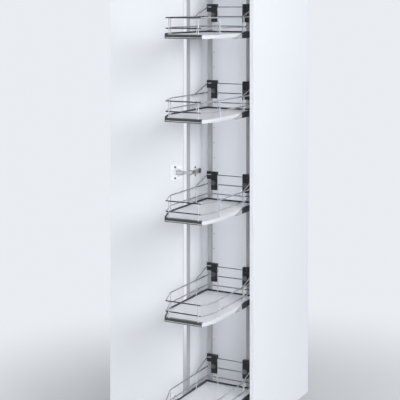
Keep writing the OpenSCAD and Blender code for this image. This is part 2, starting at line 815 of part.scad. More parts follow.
module bent_wire(points, bends, closed, r) {
    n = len(points);
    function at(i) = points[(i + n) % n];
    function is_end(i) = !closed && (i == 0 || i == n - 1);
    function trim_at(i) = is_end(i) ? 0 : cut(at(i - 1), at(i), at(i + 1), bends[(i + n) % n]);
    function lap_at(i) = is_end(i) ? 0 : bend_lap;
    for (i = [0 : closed ? n - 1 : n - 2]) {
        u = unit(at(i + 1) - at(i));
        start = at(i) + u * (trim_at(i) - lap_at(i));
        next = (i + 1) % n;
        stretch = norm(at(next) - start) - trim_at(next) + lap_at(next);
        translate([start[0], start[1], 0]) rotate([0, 0, atan2(u[1], u[0])]) rotate([0, 90, 0])
            cylinder(r = r, h = stretch, $fn = 24);
    }
    for (i = [closed ? 0 : 1 : closed ? n - 1 : n - 2]) {
        a = turn(at(i - 1), at(i), at(i + 1));
        u = unit(at(i) - at(i - 1));
        side = a > 0 ? 1 : -1;
        centre = at(i) - u * trim_at(i) + side * bends[i] * [-u[1], u[0]];
        from = atan2(u[1], u[0]) - side * 90;
        translate([centre[0], centre[1], 0]) rotate([0, 0, side > 0 ? from : from + a])
            rotate_extrude(angle = abs(a), $fn = 96)
                translate([bends[i], 0]) circle(r = r - bend_slim, $fn = 24);
    }
}

guard_tilt = atan2(guard_z - high_rail_z, guard_run);
guard_length = norm([guard_z - high_rail_z, guard_run]);
guard_r = guard_d / 2;
upright_r = upright_d / 2;
front_upright = 14;           // from the ends of the front edge
// beside the clamps, on their inner sides
rear_uprights = [clamp_left + clamp_w + upright_r + fit, clamp_right - upright_r - fit];
side_uprights = [tray_front + chamfer[1] + 6, rail_rear - guard_run + 12];

module wire_upright(x, y, high, low = tray_t) {
    translate([x, y, low]) cylinder(r = upright_r, h = high - low, $fn = 24);
}

module wire_rail(i) {
    color([0.60, 0.61, 0.64]) in_cabinet() translate([0, 0, tray_z(i)]) {
        for (z = [low_rail_z, high_rail_z])
            translate([0, 0, z]) bent_wire(rail_corners, rail_bends, true, rail_r);
        // the guard climbs from both side rails and runs along the rear
        translate([0, rail_rear - guard_run, high_rail_z]) rotate([guard_tilt, 0, 0])
            bent_wire(
                [[rail_left, 0], [rail_left, guard_length], [rail_right, guard_length], [rail_right, 0]],
                [0, rear_bend_r, rear_bend_r, 0], false, guard_r);
        for (x = [strip_left + front_upright, strip_right - front_upright])
            wire_upright(x, rail_front, high_rail_z, tray_t + lip_t);
        for (y = side_uprights) wire_upright(rail_left, y, high_rail_z);
        for (y = side_uprights) wire_upright(rail_right, y, high_rail_z);
        for (x = rear_uprights) wire_upright(x, rail_rear, guard_z);
    }
}

// ---------------------------------------------------------------- tray brackets and clamps

bracket_reach = 180;          // forward of the posts along the tray's sides
bracket_low = -5;
bracket_foot = 18;
nose_l = 60;                  // tapered front end of a bracket
nose_h = 6;                   // its height at the tip
knob_r = 10;
knob_h = 7;
knob_z = high_rail_z + 8;

// Angle under one edge of the board, with a rear plate on the post; drawn for the left side.
module tray_bracket(outer, post_left) {
    front = post_front - bracket_reach;
    low = min(outer - bracket_wall, post_left);
    nose_drop = rim_h - bracket_low - nose_h;
    difference() {
        union() {
            block([outer - bracket_wall, front, bracket_low], [outer, post_front, rim_h]);
            block([outer - bracket_wall, front, bracket_low], [outer + bracket_foot, tray_rear + rim_t, 0]);
            block([low, tray_rear + rim_t, bracket_low], [post_left + post[0], post_front, rim_h]);
        }
        // tapered nose
        translate([outer - bracket_wall - 1, front, rim_h]) rotate([0, 90, 0])
            linear_extrude(height = bracket_wall + 2)
            polygon([[-1, -1], [-1, nose_l], [0, nose_l], [nose_drop, 0], [nose_drop, -1]]);
    }
}

module tray_brackets() {
    color([0.18, 0.19, 0.22]) in_cabinet() for (i = [1 : tray_count]) translate([0, 0, tray_z(i)]) {
        tray_bracket(tray_left - rim_t, frame_left);
        translate([tray_right, 0, 0]) mirror([1, 0, 0])
            tray_bracket(0, tray_right - frame_right);
    }
}

// Block in front of a post that grips the guard and the upper rail.
module tray_clamp(left) {
    notch = [6, 3, 12];
    difference() {
        block([left, clamp_front, clamp_low], [left + clamp_w, post_front, clamp_high]);
        for (z = [high_rail_z, guard_z]) translate([left - 1, rail_rear, z])
            rotate([0, 90, 0]) cylinder(r = rail_r + fit, h = clamp_w + 2, $fn = round_fn);
        translate([left + (clamp_w - notch[0]) / 2, clamp_front - 1, clamp_high - 2 * notch[2]])
            cube([notch[0], notch[1] + 1, notch[2]]);
    }
}

module tray_clamps(i) {
    tab_low = guard_z - 20;
    color([0.16, 0.17, 0.20]) in_cabinet() translate([0, 0, tray_z(i)]) {
        tray_clamp(clamp_left);
        tray_clamp(clamp_right);
        // the left clamp's tab on its post
        block([frame_left, rail_rear + rail_r + fit, tab_low], [clamp_left + 1, post_front, clamp_high]);
    }
}

// Round-headed screws that tighten the clamps, standing on their front faces.
module clamp_screws() {
    slot = [2, 1];
    color([0.30, 0.31, 0.34]) in_cabinet() for (i = [1 : tray_count], x = [clamp_left, clamp_right])
        translate([x + clamp_w / 2, clamp_front, tray_z(i) + knob_z])
            rotate([90, 0, 0]) difference() {
                cylinder(r = knob_r, h = knob_h, $fn = round_fn);
                translate([0, 0, knob_h - slot[1]])
                    block([-knob_r / 2, -slot[0] / 2, 0], [knob_r / 2, slot[0] / 2, slot[1] + 1]);
            }
}

left_side();
right_side();
bottom_panel();
top_panel();
back_panel();
cam_locks();
leg_sockets();
legs();
wall_bracket();
door_panel();
hinge_cups();
cup_screws();
door_buffers();
hinge_plates();
plate_screws();
hinge_arms();
arm_cams();
inner_links();
outer_links();
floor_rail();
floor_rail_slide();
carrier_rail();
outer_ball_cages();
inner_ball_cages();
rail_screws();
ceiling_rail_channel();
guide_slider();
base_carrier();
left_post();
right_post();
top_beam();
tray_board(1);  // tray_board_1
tray_board(2);  // tray_board_2
tray_board(3);  // tray_board_3
tray_board(4);  // tray_board_4
tray_board(5);  // tray_board_5
front_trim(1);  // front_trim_1
front_trim(2);  // front_trim_2
front_trim(3);  // front_trim_3
front_trim(4);  // front_trim_4
front_trim(5);  // front_trim_5
tray_rim(1);  // tray_rim_1
tray_rim(2);  // tray_rim_2
tray_rim(3);  // tray_rim_3
tray_rim(4);  // tray_rim_4
tray_rim(5);  // tray_rim_5
wire_rail(1);  // wire_rail_1
wire_rail(2);  // wire_rail_2
wire_rail(3);  // wire_rail_3
wire_rail(4);  // wire_rail_4
wire_rail(5);  // wire_rail_5
tray_brackets();
tray_clamps(1);  // tray_clamps_1
tray_clamps(2);  // tray_clamps_2
tray_clamps(3);  // tray_clamps_3
tray_clamps(4);  // tray_clamps_4
tray_clamps(5);  // tray_clamps_5
clamp_screws();
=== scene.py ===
"""Looks of a tall larder cabinet with an open door and a drawn-out frame of trays.

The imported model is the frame. Boards, profiles and fittings get softened copies of their CAD shapes,
the wires are swept afresh with round bends and weld beads, and small fittings are added on top.
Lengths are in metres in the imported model's own axes: +Z up, -Y to the front.
"""
import json
import math

import bmesh
import bpy
from mathutils import Matrix, Vector

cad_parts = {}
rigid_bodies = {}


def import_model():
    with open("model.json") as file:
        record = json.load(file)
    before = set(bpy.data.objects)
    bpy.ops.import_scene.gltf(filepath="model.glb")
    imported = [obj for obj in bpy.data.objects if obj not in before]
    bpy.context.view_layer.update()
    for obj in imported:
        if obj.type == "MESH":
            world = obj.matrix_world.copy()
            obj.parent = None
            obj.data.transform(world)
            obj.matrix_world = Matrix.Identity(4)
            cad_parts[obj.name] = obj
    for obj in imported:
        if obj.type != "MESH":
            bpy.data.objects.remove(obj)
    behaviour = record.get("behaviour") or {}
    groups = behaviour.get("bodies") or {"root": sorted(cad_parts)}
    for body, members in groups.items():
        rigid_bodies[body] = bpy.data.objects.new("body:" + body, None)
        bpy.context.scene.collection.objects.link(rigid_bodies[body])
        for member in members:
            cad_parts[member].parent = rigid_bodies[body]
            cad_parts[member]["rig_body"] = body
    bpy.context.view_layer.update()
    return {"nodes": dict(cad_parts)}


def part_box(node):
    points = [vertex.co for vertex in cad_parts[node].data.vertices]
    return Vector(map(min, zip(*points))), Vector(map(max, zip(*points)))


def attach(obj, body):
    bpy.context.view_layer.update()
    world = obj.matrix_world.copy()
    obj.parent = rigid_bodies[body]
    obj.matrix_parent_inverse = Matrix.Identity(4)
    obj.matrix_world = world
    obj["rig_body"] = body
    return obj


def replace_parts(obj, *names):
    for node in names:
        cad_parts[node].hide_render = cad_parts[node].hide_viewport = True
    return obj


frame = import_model()
nodes = frame["nodes"]
scene = bpy.context.scene

MM = 0.001
TRAYS = (1, 2, 3, 4, 5)
BORE_FACE = 200 * MM * MM       # faces of a drilled hole are smaller than this
WELD = 0.002 * MM                # vertices nearer than this are one
FLAT_TURN = math.radians(0.4)    # faces that turn less than this are one flat face
BEVEL_TURN = math.radians(30)    # edges that turn more than this are rounded
SHARP_TURN = math.radians(35)    # edges that turn more than this stay sharp in the shading
ARC_STEP = math.radians(5)       # turn of one piece of a wire's bend
UP = Vector((0, 0, 1))


# ---------------------------------------------------------------- shader helpers

class Shader:
    """A new material's node tree, with short calls for the nodes that the finishes need."""

    def __init__(self, name):
        self.material = bpy.data.materials.new(name)
        self.material.use_nodes = True
        self.tree = self.material.node_tree
        self.surface = self.tree.nodes["Principled BSDF"]
        self.place = self.tree.nodes.new("ShaderNodeTexCoord").outputs["Object"]

    def node(self, kind, **inputs):
        made = self.tree.nodes.new(kind)
        for key, value in inputs.items():
            self.feed(made.inputs[key.replace("_", " ")], value)
        return made

    def feed(self, socket, value):
        if isinstance(value, bpy.types.NodeSocket):
            self.tree.links.new(value, socket)
        else:
            socket.default_value = value

    def stretched(self, scale):
        """Object coordinates, scaled apart along the three axes."""
        made = self.node("ShaderNodeMapping", Vector=self.place)
        made.inputs["Scale"].default_value = scale
        return made.outputs["Vector"]

    def noise(self, scale, detail=4.0, vector=None, roughness=0.5):
        made = self.node("ShaderNodeTexNoise", Scale=scale, Detail=detail, Roughness=roughness)
        self.feed(made.inputs["Vector"], vector or self.place)
        return made.outputs["Fac"]

    def cells(self, scale):
        return self.node("ShaderNodeTexVoronoi", Scale=scale, Vector=self.place).outputs["Color"]

    def span(self, value, low, high, from_low=0.3, from_high=0.7):
        """Maps a texture's middle values to the stretch from low to high."""
        stretch = {"From Min": from_low, "From Max": from_high, "To Min": low, "To Max": high}
        made = self.node("ShaderNodeMapRange", Value=value)
        for key, number in stretch.items():
            made.inputs[key].default_value = number
        return made.outputs["Result"]

    def mixed(self, amount, first, second):
        made = self.node("ShaderNodeMix")
        made.data_type = "RGBA"
        self.feed(made.inputs["Factor"], amount)
        self.feed(made.inputs["A"], first)
        self.feed(made.inputs["B"], second)
        return next(s for s in made.outputs if s.type == "RGBA")

    def maths(self, operation, first, second=0.0):
        made = self.node("ShaderNodeMath")
        made.operation = operation
        self.feed(made.inputs[0], first)
        self.feed(made.inputs[1], second)
        return made.outputs["Value"]

    def bump(self, height, distance, strength=1.0, below=None):
        made = self.node("ShaderNodeBump", Height=height, Strength=strength)
        made.inputs["Distance"].default_value = distance
        if below:
            self.feed(made.inputs["Normal"], below)
        return made.outputs["Normal"]

    def finish(self, color, roughness, normal=None, metallic=0.0, coat=0.0, coat_roughness=0.1):
        self.feed(self.surface.inputs["Base Color"], color)
        self.feed(self.surface.inputs["Roughness"], roughness)
        self.surface.inputs["Metallic"].default_value = metallic
        self.surface.inputs["Coat Weight"].default_value = coat
        self.surface.inputs["Coat Roughness"].default_value = coat_roughness
        if normal:
            self.feed(self.surface.inputs["Normal"], normal)
        return self.material


def grey(level, blue=0.0):
    """A linear colour close to grey; blue tips it towards the photo's cool white."""
    return (level * (1 - blue), level * (1 - 0.65 * blue), level, 1.0)


# ---------------------------------------------------------------- finishes

def melamine(name, level, blue, grain=2600.0):
    """White coated board: fine pearl texture and faint clouding."""
    s = Shader(name)
    cloud = s.span(s.noise(2.2, 3.0), 0.0, 1.0, 0.1, 0.9)
    color = s.mixed(cloud, grey(level * 0.99, blue * 1.1), grey(level, blue))
    pearl = s.noise(grain, 2.0)
    wave = s.noise(90.0, 2.0)
    normal = s.bump(pearl, 0.00005, 0.35, s.bump(wave, 0.0002, 0.12))
    return s.finish(color, s.span(s.noise(14.0, 5.0), 0.30, 0.42), normal)


def lacquer(name, level, blue):
    """White satin lacquer of the door: orange peel, soft clouding and a thin clear coat."""
    s = Shader(name)
    cloud = s.span(s.noise(1.6, 3.0), 0.0, 1.0, 0.1, 0.9)
    color = s.mixed(cloud, grey(level * 0.993, blue * 1.05), grey(level, blue))
    peel = s.noise(420.0, 2.0)
    normal = s.bump(peel, 0.0001, 0.18)
    roughness = s.span(s.noise(9.0, 4.0), 0.26, 0.36, 0.1, 0.9)
    return s.finish(color, roughness, normal, coat=0.15, coat_roughness=0.18)


def chrome(name, level):
    """Polished chrome with drawing marks along the wire and faint smears."""
    s = Shader(name)
    smear = s.noise(38.0, 6.0)
    color = s.mixed(s.span(smear, 0.0, 1.0), grey(level, 0.04), grey(level * 0.86, 0.07))
    marks = s.noise(1500.0, 3.0)
    return s.finish(color, s.span(smear, 0.07, 0.17), s.bump(marks, 0.00003, 0.2), metallic=1.0)


def brushed(name, level, stretch, rough=(0.24, 0.42), metallic=1.0):
    """Metal with fine lines along one axis; stretch holds the scales along the three axes."""
    s = Shader(name)
    lines = s.noise(1.0, 5.0, s.stretched(stretch), 0.65)
    patch = s.noise(7.0, 3.0)
    color = s.mixed(s.span(lines, 0.0, 1.0), grey(level * 0.82, 0.05), grey(level, 0.04))
    roughness = s.maths("ADD", s.span(lines, rough[0], rough[1]), s.span(patch, -0.03, 0.03))
    return s.finish(color, roughness, s.bump(lines, 0.00008, 0.35), metallic=metallic)


def nickel(name, level, metallic):
    """Satin nickel: a soft tumbled skin with a faintly cloudy gloss."""
    s = Shader(name)
    cloud = s.noise(45.0, 2.0)
    color = s.mixed(s.span(cloud, 0.0, 1.0), grey(level * 0.97, 0.03), grey(level, 0.01))
    skin = s.bump(s.noise(260.0, 1.0), 0.00001, 0.1)
    return s.finish(color, s.span(cloud, 0.25, 0.29), skin, metallic=metallic)


def zinc(name, level):
    """Zinc-plated steel: soft spangles, dull patches and rolling marks."""
    s = Shader(name)
    spangle = s.cells(140.0)
    flat = s.node("ShaderNodeRGBToBW", Color=spangle).outputs["Val"]
    color = s.mixed(s.span(flat, 0.0, 1.0, 0.0, 1.0), grey(level * 0.86, 0.05), grey(level, 0.02))
    dull = s.noise(24.0, 5.0)
    roughness = s.maths("ADD", s.span(flat, 0.26, 0.36, 0.0, 1.0), s.span(dull, -0.05, 0.1))
    return s.finish(color, roughness, s.bump(dull, 0.0001, 0.15), metallic=0.5)


def powder(name, level, blue):
    """Dark satin powder coat with a fine pebbled skin."""
    s = Shader(name)
    cloud = s.span(s.noise(30.0, 4.0), 0.0, 1.0)
    color = s.mixed(cloud, grey(level * 0.85, blue), grey(level, blue))
    pebble = s.noise(3200.0, 2.0)
    normal = s.bump(pebble, 0.00006, 0.5)
    s.surface.inputs["Specular IOR Level"].default_value = 0.35
    return s.finish(color, s.span(s.noise(60.0, 4.0), 0.34, 0.48), normal)


def moulded(name, level, blue=0.0):
    """Moulded plastic with a fine spark-eroded skin."""
    s = Shader(name)
    cloud = s.span(s.noise(40.0, 3.0), 0.0, 1.0)
    color = s.mixed(cloud, grey(level * 0.8, blue), grey(level * 1.15, blue))
    skin = s.bump(s.cells(2400.0), 0.00006, 0.4)
    return s.finish(color, s.span(s.noise(80.0, 4.0), 0.42, 0.6), skin)


def soft_dot(name):
    """Milky soft plastic of the door's dots."""
    s = Shader(name)
    color = s.mixed(s.span(s.noise(300.0, 3.0), 0.0, 1.0), grey(0.62, 0.04), grey(0.7, 0.03))
    material = s.finish(color, s.span(s.noise(500.0, 3.0), 0.3, 0.4), s.bump(s.noise(900.0), 0.00005, 0.3))
    s.surface.inputs["Subsurface Weight"].default_value = 0.3
    s.surface.inputs["Subsurface Radius"].default_value = (0.002, 0.002, 0.002)
    return material


board_white = melamine("board_white", 0.87, 0.035)
tray_white = melamine("tray_white", 0.92, 0.03, 3400.0)
tray_band = melamine("tray_band", 0.72, 0.035, 3400.0)
door_white = lacquer("door_white", 0.82, 0.035)
wire_chrome = chrome("wire_chrome", 0.72)
upright_chrome = nickel("upright_chrome", 0.80, 0.45)
bead_chrome = chrome("bead_chrome", 0.72)
trim_dark = powder("trim_dark", 0.085, 0.10)
lip_grey = brushed("lip_grey", 0.34, (8.0, 900.0, 900.0))
bead_satin = nickel("bead_satin", 0.9, 0.1)
nose_grey = powder("nose_grey", 0.50, 0.04)
rim_dark = powder("rim_dark", 0.036, 0.2)
clamp_dark = moulded("clamp_dark", 0.028, 0.22)
post_steel = brushed("post_steel", 0.56, (1400.0, 1400.0, 6.0), metallic=0.35)
beam_steel = brushed("beam_steel", 0.46, (6.0, 1200.0, 1200.0), metallic=0.5)
rail_zinc = zinc("rail_zinc", 0.55)
hinge_nickel = nickel("hinge_nickel", 0.96, 0.1)
arm_nickel = nickel("arm_nickel", 0.55, 0.35)
screw_dark = nickel("screw_dark", 0.16, 0.6)
screw_steel = brushed("screw_steel", 0.38, (900.0, 900.0, 900.0), (0.2, 0.34))
cam_steel = brushed("cam_steel", 0.30, (900.0, 900.0, 900.0), (0.2, 0.34))
black_plastic = moulded("black_plastic", 0.018)
slider_plastic = moulded("slider_plastic", 0.03, 0.1)
buffer_soft = soft_dot("buffer_soft")
# painted shade: a grey for the left side's front edge, standing for the shade of the open door beside it
left_edge_painted_shade = melamine("left_edge_painted_shade", 0.50, 0.05)
# walls of drilled holes: the bare board core, made near black as painted shade inside the holes
bore_core_and_shade = moulded("bore_core_and_shade", 0.05)

# The finish of each finish's rounded edges: lighter on dark coats and metal as a painted sheen, darker on
# white as painted shade.
EDGES = {
    board_white: melamine("board_edge", 0.78, 0.03),
    tray_white: melamine("tray_edge", 0.82, 0.03),
    door_white: lacquer("door_edge", 0.76, 0.03),
    trim_dark: powder("trim_edge", 0.16, 0.08),
    rim_dark: powder("rim_edge", 0.09, 0.15),
    clamp_dark: moulded("clamp_edge", 0.07, 0.15),
    post_steel: brushed("post_edge", 0.66, (1400.0, 1400.0, 6.0), metallic=0.35),
    rail_zinc: zinc("rail_edge", 0.68),
    beam_steel: brushed("beam_edge", 0.56, (6.0, 1200.0, 1200.0), metallic=0.5),
}


# ---------------------------------------------------------------- mesh helpers

def new_piece(name, mesh_maker, materials, body):
    """A new object whose mesh is made by mesh_maker(bm); it rides on a body."""
    mesh = bpy.data.meshes.new(name)
    bm = bmesh.new()
    mesh_maker(bm)
    bmesh.ops.recalc_face_normals(bm, faces=bm.faces)
    bm.to_mesh(mesh)
    bm.free()
    for material in materials if isinstance(materials, list) else [materials]:
        mesh.materials.append(material)
    piece = bpy.data.objects.new(name, mesh)
    scene.collection.objects.link(piece)
    mesh.shade_smooth()
    mesh.set_sharp_from_angle(angle=SHARP_TURN)
    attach(piece, body)
    return piece


def softened(node, material, width, segments=2, ahead=None, bores=None, band=None):
    """A copy of a CAD node with rounded edges, which stands for the node.

    ahead is (y, material): the faces in front of that y take this material. bores is the material of the
    small faces inside drilled holes, band that of the upright faces.
    """
    source = nodes[node]

    def copied(bm):
        bm.from_mesh(source.data)
        bmesh.ops.remove_doubles(bm, verts=bm.verts, dist=WELD)
        bmesh.ops.dissolve_limit(
            bm, angle_limit=FLAT_TURN, verts=bm.verts, edges=bm.edges, delimit={"NORMAL"})
        if ahead:
            geometry = list(bm.verts) + list(bm.edges) + list(bm.faces)
            bmesh.ops.bisect_plane(
                bm, geom=geometry, dist=0.001 * MM, plane_co=(0, ahead[0], 0), plane_no=(0, 1, 0))
        for face in bm.faces:
            if ahead and face.calc_center_median().y < ahead[0]:
                face.material_index = materials.index(ahead[1])
            elif bores and face.calc_area() < BORE_FACE:
                face.material_index = materials.index(bores)
            elif band and abs(face.normal.z) < 0.5:
                face.material_index = materials.index(band)

    materials = [material]
    materials += [extra for extra in (ahead and ahead[1], bores, band, EDGES.get(material)) if extra]
    piece = new_piece(node + "_finished", copied, materials, source["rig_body"])
    bevel = piece.modifiers.new("edges", "BEVEL")
    bevel.width = width
    # the rounded edges take their finish's painted edge tone: sheen on dark coats and metal, shade on white
    if material in EDGES:
        bevel.material = len(materials) - 1
    bevel.segments = segments
    bevel.limit_method = "ANGLE"
    bevel.angle_limit = BEVEL_TURN
    bevel.use_clamp_overlap = True
    flat = piece.modifiers.new("flat", "WEIGHTED_NORMAL")
    flat.keep_sharp = True
    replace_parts(piece, node)
    return piece


def dress(node, material):
    """Gives a CAD node that stays as it is its finish."""
    data = nodes[node].data
    data.materials.clear()
    data.materials.append(material)


def ring_points(center, across, along_up, radius, sides):
    return [
        center + radius * (math.cos(t) * across + math.sin(t) * along_up)
        for t in (2 * math.pi * k / sides for k in range(sides))
    ]


def sweep(bm, points, radius, up, closed=False, sides=18):
    """A round tube along points that lie in a plane with the normal up."""
    count = len(points)
    rings = []
    for k, point in enumerate(points):
        before = points[k - 1] if closed or k else points[0]
        after = points[(k + 1) % count] if closed or k < count - 1 else points[-1]
        tangent = (after - before).normalized()
        across = tangent.cross(up).normalized()
        rings.append([bm.verts.new(p) for p in ring_points(point, across, up, radius, sides)])
    for k in range(count if closed else count - 1):
        near, far = rings[k], rings[(k + 1) % count]
        for j in range(sides):
            bm.faces.new((near[j], near[(j + 1) % sides], far[(j + 1) % sides], far[j]))
    if not closed:
        bm.faces.new(rings[0])
        bm.faces.new(rings[-1])


def rounded_path(corners, radii, closed):
    """The corners joined by straight lines, with an arc of the given radius at each."""
    count = len(corners)
    path = []
    for k, corner in enumerate(corners):
        if not closed and k in (0, count - 1):
            path.append(corner)
            continue
        into = (corner - corners[k - 1]).normalized()
        out = (corners[(k + 1) % count] - corner).normalized()
        turn = into.angle(out)
        trim = radii[k] * math.tan(turn / 2)
        inward = (out - into).normalized()
        centre = corner + inward * (radii[k] / math.cos(turn / 2))
        start = corner - into * trim - centre
        axis = into.cross(out).normalized()
        pieces = max(2, math.ceil(turn / ARC_STEP))
        path += [centre + Matrix.Rotation(turn * j / pieces, 3, axis) @ start for j in range(pieces + 1)]
    return path


def revolve(bm, profile, place, sides=32):
    """Turns (radius, height) pairs about the z axis of the 4x4 matrix place; closes both ends."""
    x_axis, y_axis = Vector((1, 0, 0)), Vector((0, 1, 0))
    rings = [
        [bm.verts.new(place @ point) for point in ring_points(height * UP, x_axis, y_axis, radius, sides)]
        for radius, height in profile
    ]
    for near, far in zip(rings, rings[1:]):
        for j in range(sides):
            bm.faces.new((near[j], near[(j + 1) % sides], far[(j + 1) % sides], far[j]))
    bm.faces.new(rings[0])
    bm.faces.new(rings[-1])


def bar(bm, low, high):
    """A block between two corners."""
    size = Vector(high) - Vector(low)
    middle = (Vector(high) + Vector(low)) / 2
    bmesh.ops.create_cube(bm, size=1.0, matrix=Matrix.Translation(middle) @ Matrix.Diagonal(size).to_4x4())


# ---------------------------------------------------------------- carcass and door

SHADED_FRONT_DEPTH = 1 * MM               # depth of the left side's front that is painted grey as shade
left_side_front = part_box("left_side")[0].y

for node in ("right_side", "bottom_panel", "top_panel", "back_panel"):
    # the small faces inside drilled holes get the near-black painted shade of the bores
    softened(node, board_white, 0.6 * MM, bores=bore_core_and_shade)
# the left side's front edge is painted grey as shade; the right side's stays white
softened("left_side", board_white, 0.6 * MM, ahead=(left_side_front + SHADED_FRONT_DEPTH, left_edge_painted_shade), bores=bore_core_and_shade)
softened("door_panel", door_white, 1.0 * MM, 3)
softened("cam_locks", screw_steel, 0.3 * MM)
softened("wall_bracket", rail_zinc, 0.5 * MM)
softened("door_buffers", buffer_soft, 0.6 * MM, 3)
softened("leg_sockets", black_plastic, 0.8 * MM)


def legs():
    """Levelling legs: a wide sole with a stepped foot, a ribbed collar and a plain tube into the socket."""
    low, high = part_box("legs")
    sole_r = 26 * MM
    tube_r = 15 * MM
    collar_r = 17.5 * MM
    collar_z = 48 * MM
    collar_h = 9 * MM
    ribs = 20
    rib_size = (1.6 * MM, 2.2 * MM, collar_h - 2.4 * MM, 1)
    profile = [
        (sole_r - 1.5 * MM, 0.0), (sole_r, 1.5 * MM), (sole_r, 5 * MM), (sole_r - 3 * MM, 8 * MM),
        (tube_r + 3 * MM, 9 * MM), (tube_r + 1 * MM, 11 * MM), (tube_r, 14 * MM),
        (tube_r, collar_z), (collar_r, collar_z + 1 * MM), (collar_r, collar_z + collar_h - 1 * MM),
        (tube_r, collar_z + collar_h), (tube_r, high.z - low.z),
    ]

    def made(bm):
        for x in (low.x + sole_r, high.x - sole_r):
            for y in (low.y + sole_r, high.y - sole_r):
                foot = Matrix.Translation((x, y, low.z))
                revolve(bm, profile, foot)
                for k in range(ribs):
                    turn = foot @ Matrix.Rotation(2 * math.pi * k / ribs, 4, "Z")
                    rib = Matrix.Translation((collar_r, 0, collar_z + collar_h / 2))
                    bmesh.ops.create_cube(bm, size=1.0, matrix=turn @ rib @ Matrix.Diagonal(rib_size))

    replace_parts(new_piece("levelling_legs", made, black_plastic, "carcass"), "legs")


legs()


# ---------------------------------------------------------------- hinges

softened("hinge_cups", hinge_nickel, 0.35 * MM)
softened("hinge_plates", hinge_nickel, 0.45 * MM)
softened("hinge_arms", arm_nickel, 0.5 * MM)
softened("inner_links", arm_nickel, 0.5 * MM)
softened("outer_links", arm_nickel, 0.35 * MM)
for node in ("cup_screws", "plate_screws"):
    softened(node, screw_dark, 0.25 * MM)
softened("arm_cams", cam_steel, 0.4 * MM)


def arm_screws():
    """Adjusting screws with a sunk middle on each hinge arm's floor, and the rivets at its front pivot."""
    low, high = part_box("hinge_arms")
    half_h = 8.5 * MM
    floor_t = 2.2 * MM
    pivot_in = 3.2 * MM
    screw_steps = (20 * MM, 34 * MM)
    sides = 24
    levels = (low.z + half_h, (low.z + high.z) / 2, high.z - half_h)
    turned = Matrix.Rotation(math.pi / 2, 4, "Y")
    head = [
        (3.4 * MM, 0.0), (3.4 * MM, 1.4 * MM), (2.9 * MM, 2.0 * MM),
        (1.5 * MM, 2.0 * MM), (1.5 * MM, 1.1 * MM),
    ]
    rivet = [(2.3 * MM, 0.0), (2.2 * MM, 0.35 * MM), (1.2 * MM, 0.6 * MM)]

    def made(bm):
        for z in levels:
            for step in screw_steps:
                revolve(bm, head, Matrix.Translation((low.x + floor_t, low.y + step, z)) @ turned, sides)
            for side in (1, -1):
                place = Matrix.Translation((low.x + pivot_in, low.y + pivot_in, z + side * half_h))
                revolve(bm, rivet, place @ Matrix.Diagonal((1, 1, side, 1)), sides)

    new_piece("arm_screws", made, screw_steel, "carcass")


arm_screws()


# ---------------------------------------------------------------- runner, ceiling rail and frame

for node in ("floor_rail", "floor_rail_slide", "carrier_rail", "ceiling_rail_channel"):
    softened(node, rail_zinc, 0.35 * MM)
softened("rail_screws", screw_steel, 0.25 * MM)
softened("guide_slider", slider_plastic, 1.0 * MM, 3)
softened("base_carrier", beam_steel, 0.8 * MM)
softened("top_beam", beam_steel, 0.8 * MM)
for node in ("left_post", "right_post"):
    softened(node, post_steel, 0.7 * MM, 3)
for node in ("outer_ball_cages", "inner_ball_cages"):
    dress(node, bead_chrome)


# ---------------------------------------------------------------- trays

RAIL_R = 2.5 * MM
GUARD_R = 2.2 * MM
UPRIGHT_R = 2.0 * MM
RAIL_IN = 2.8 * MM               # wire axis from the board's edge
LOW_RAIL = 39.5 * MM             # heights above the board's underside
HIGH_RAIL = 79.0 * MM
GUARD = 118.0 * MM
GUARD_RUN = 110.0 * MM           # length over which the guard climbs
CHAMFER_DEPTH = 106.0 * MM       # from the front to where the left side turns in
BEND = 5.0 * MM
REAR_BEND = 10.0 * MM
LONG_BEND = 200.0 * MM
BOARD_T = 14.0 * MM
LIP_T = 1.4 * MM
FRONT_UPRIGHT_IN = 14.0 * MM     # uprights' places: from the front profile's ends,
BEND_UPRIGHT_ON = 6.0 * MM       # behind the chamfer's rear bend
GUARD_UPRIGHT_ON = 12.0 * MM     # and behind the start of the guard's climb
BRACKET_TONE_Y = -0.2975         # the brackets are grey ahead of this and dark behind it


